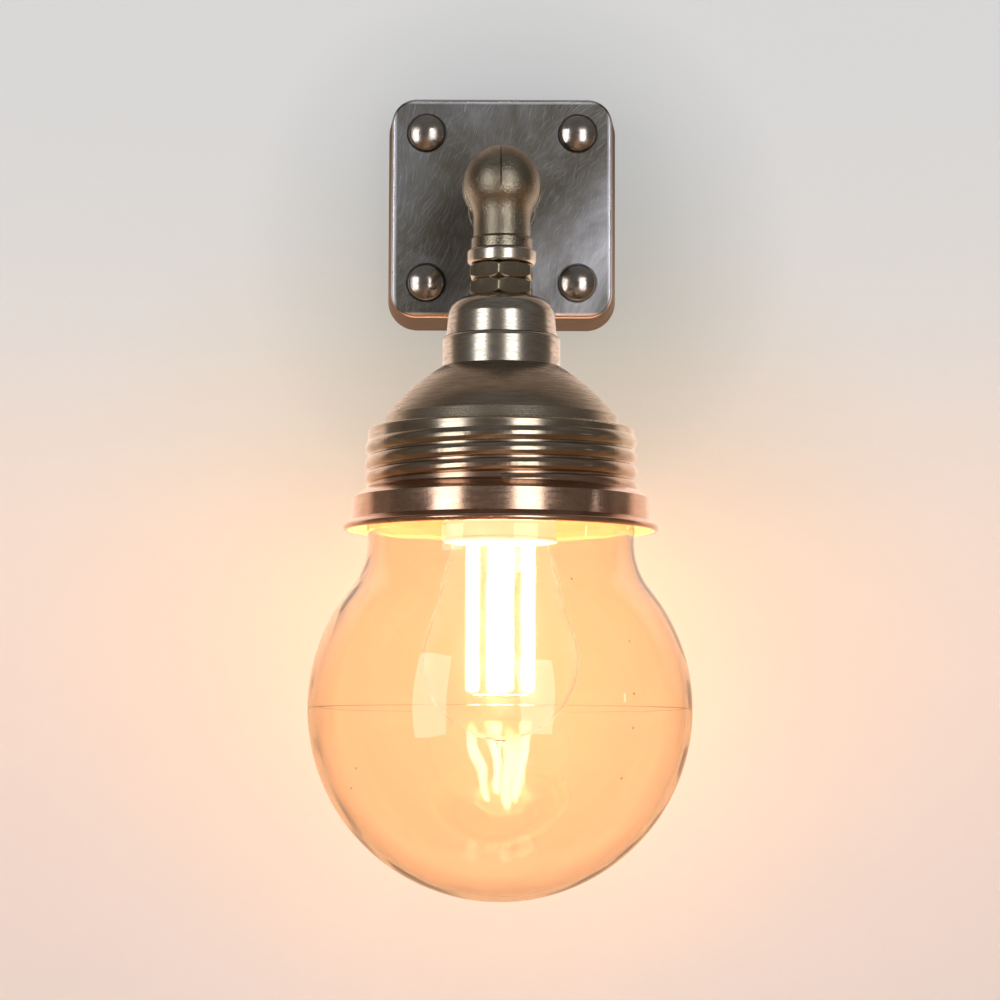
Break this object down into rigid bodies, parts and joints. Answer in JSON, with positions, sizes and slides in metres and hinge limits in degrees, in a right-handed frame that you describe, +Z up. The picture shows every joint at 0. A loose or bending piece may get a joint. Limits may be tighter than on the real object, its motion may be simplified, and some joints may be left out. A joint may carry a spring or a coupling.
{
  "type": "outdoor wall lamp",
  "caption": "Wall lamp with a square plate, an elbow arm and a screw-in clear glass globe round a bayonet filament bulb.",
  "frame": {"origin": "centre of the plate's wall face", "axes": "+Y into the wall, +Z up, the lamp stands out towards -Y"},
  "size_m": [0.146, 0.192, 0.3222],
  "materials": {
    "plate_nickel": "dark brushed nickel with swirling scratches and a patina, edges rubbed bright",
    "polished_nickel": "polished dark nickel",
    "cast_nickel": "fine cast grain under warm grey nickel",
    "brushed_nickel": "nickel brushed round the axis",
    "spun_nickel": "spun nickel, brushed round the axis",
    "black_rubber": "matt moulded rubber",
    "zinc_steel": "zinc-plated steel",
    "spring_steel": "bright drawn wire",
    "brass": "plain machined brass",
    "cap_metal": "pressed, satin",
    "solder": "dull solder",
    "clear_glass": "clear blown glass",
    "bulb_glass": "clear thin glass",
    "white_phenolic": "glossy white moulding",
    "white_skirt": "smooth white moulding",
    "black_phenolic": "glossy black moulding",
    "filament_glow": "lit phosphor coating, warm white",
    "lead_wire": "bright nickel wire",
    "circuit_board": "green board",
    "brown_insulation": "smooth plastic insulation",
    "blue_insulation": "smooth plastic insulation",
    "green_insulation": "smooth plastic insulation, green and yellow"
  },
  "bodies": {
    "wall_bracket": {"back_plate": "plate_nickel", "plate_seal": "black_rubber", "fixing_screws": "zinc_steel", "screw_caps": "polished_nickel", "elbow_arm": "cast_nickel", "arm_washer": "zinc_steel", "arm_nut": "brass", "end_ring": "polished_nickel", "lock_nut_upper": "polished_nickel", "lock_nut_lower": "polished_nickel", "nipple": "brass", "cover_cap": "brushed_nickel", "cover_sleeve": "brushed_nickel", "gallery": "spun_nickel", "holder_body": "white_phenolic", "clamp_ring": "white_phenolic", "holder_insert": "white_phenolic", "plunger_springs": "spring_steel", "holder_terminals": "brass", "terminal_screws": "zinc_steel", "bayonet_sleeve": "brass", "sleeve_retainer": "white_phenolic", "holder_skirt": "white_skirt", "terminal_block": "white_phenolic", "clamp_screws": "brass", "earth_lug": "brass", "earth_screw": "brass", "live_wire": "brown_insulation", "neutral_wire": "blue_insulation", "earth_wire": "green_insulation"},
    "gasket": {"neck_gasket": "black_rubber"},
    "globe": {"globe": "clear_glass"},
    "plungers": {"plungers": "brass"},
    "bulb": {"bulb_cap": "cap_metal", "cap_disc": "black_phenolic", "cap_contacts": "solder", "bulb_glass": "bulb_glass", "bulb_stem": "bulb_glass", "filaments": "filament_glow", "filament_leads": "lead_wire", "driver_board": "circuit_board"}
  },
  "joints": [
    {"name": "globe_travel", "type": "slide", "parent": "wall_bracket", "child": "gasket", "axis": [0, 0, -1], "range_m": [0, 0.0174]},
    {"name": "globe_turn", "type": "hinge", "parent": "gasket", "child": "globe", "pos_m": [0, -0.085, -0.0997], "axis": [0, 0, -1], "range_deg": [0, 1080]},
    {"name": "bulb_press", "type": "slide", "parent": "wall_bracket", "child": "plungers", "axis": [0, 0, 1], "range_m": [0, 0.0018], "deforming": ["plunger_springs"]},
    {"name": "bulb_twist", "type": "hinge", "parent": "plungers", "child": "bulb", "pos_m": [0, -0.085, -0.0877], "axis": [0, 0, -1], "range_deg": [0, 14]}
  ],
  "couplings": [
    {"joint": "globe_travel", "follows": "globe_turn", "m_per_rad": 0.0009231},
    {"joint": "bulb_twist", "follows": "bulb_press", "rad_per_m": 135.75}
  ]
}
